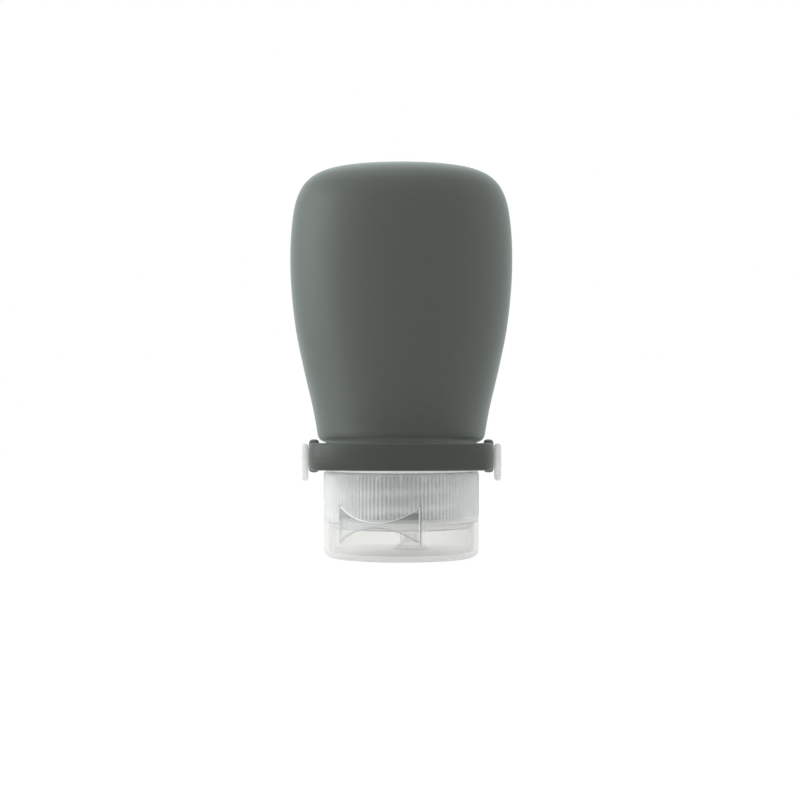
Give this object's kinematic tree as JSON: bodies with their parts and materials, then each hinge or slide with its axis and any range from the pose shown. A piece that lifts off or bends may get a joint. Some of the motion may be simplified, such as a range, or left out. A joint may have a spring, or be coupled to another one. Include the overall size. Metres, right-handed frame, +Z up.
{
  "type": "travel squeeze bottle",
  "caption": "Soft silicone travel bottle that stands on a translucent flip-top screw cap, with a swinging silicone carry strap.",
  "frame": {"origin": "centre of the lid's flat face, which the bottle stands on", "axes": "+Z up through the bottle, from the lid to the body's far end; the strap lies towards -Y and its studs lie along X"},
  "size_m": [0.0502, 0.0494, 0.0889],
  "materials": {
    "body_silicone": "matte grey-green silicone",
    "strap_silicone": "matte darker grey-green silicone",
    "valve_silicone": "translucent silicone",
    "white_plastic": "frosted white polypropylene",
    "milky_plastic": "milky translucent polypropylene",
    "clear_plastic": "clear translucent polypropylene"
  },
  "bodies": {
    "bottle": {"squeeze_body": "body_silicone", "neck_ring": "white_plastic", "strap_stud_left": "white_plastic", "strap_stud_right": "white_plastic"},
    "strap": {"carry_strap": "strap_silicone"},
    "seal": {"mouth_gasket": "valve_silicone"},
    "cap": {"screw_cap": "milky_plastic", "snap_hinge": "clear_plastic", "flow_valve": "valve_silicone"},
    "lid": {"flip_lid": "clear_plastic"}
  },
  "joints": [
    {"name": "strap_swing", "type": "hinge", "parent": "bottle", "child": "strap", "pos_m": [0, 0, 0.02275], "axis": [1, 0, 0], "range_deg": [-20, 200]},
    {"name": "cap_travel", "type": "slide", "parent": "bottle", "child": "seal", "axis": [0, 0, -1], "range_m": [0, 0.01111]},
    {"name": "cap_turn", "type": "hinge", "parent": "seal", "child": "cap", "pos_m": [0, 0, 0.0138], "axis": [0, 0, -1], "range_deg": [0, 1080]},
    {"name": "lid_flip", "type": "hinge", "parent": "cap", "child": "lid", "pos_m": [-0.00555, -0.0166, 0.00815], "axis": [-0.9483, 0.3173, 0], "range_deg": [0, 160], "deforming": ["snap_hinge"]}
  ],
  "couplings": [
    {"joint": "cap_travel", "follows": "cap_turn", "m_per_rad": 0.00058887}
  ]
}
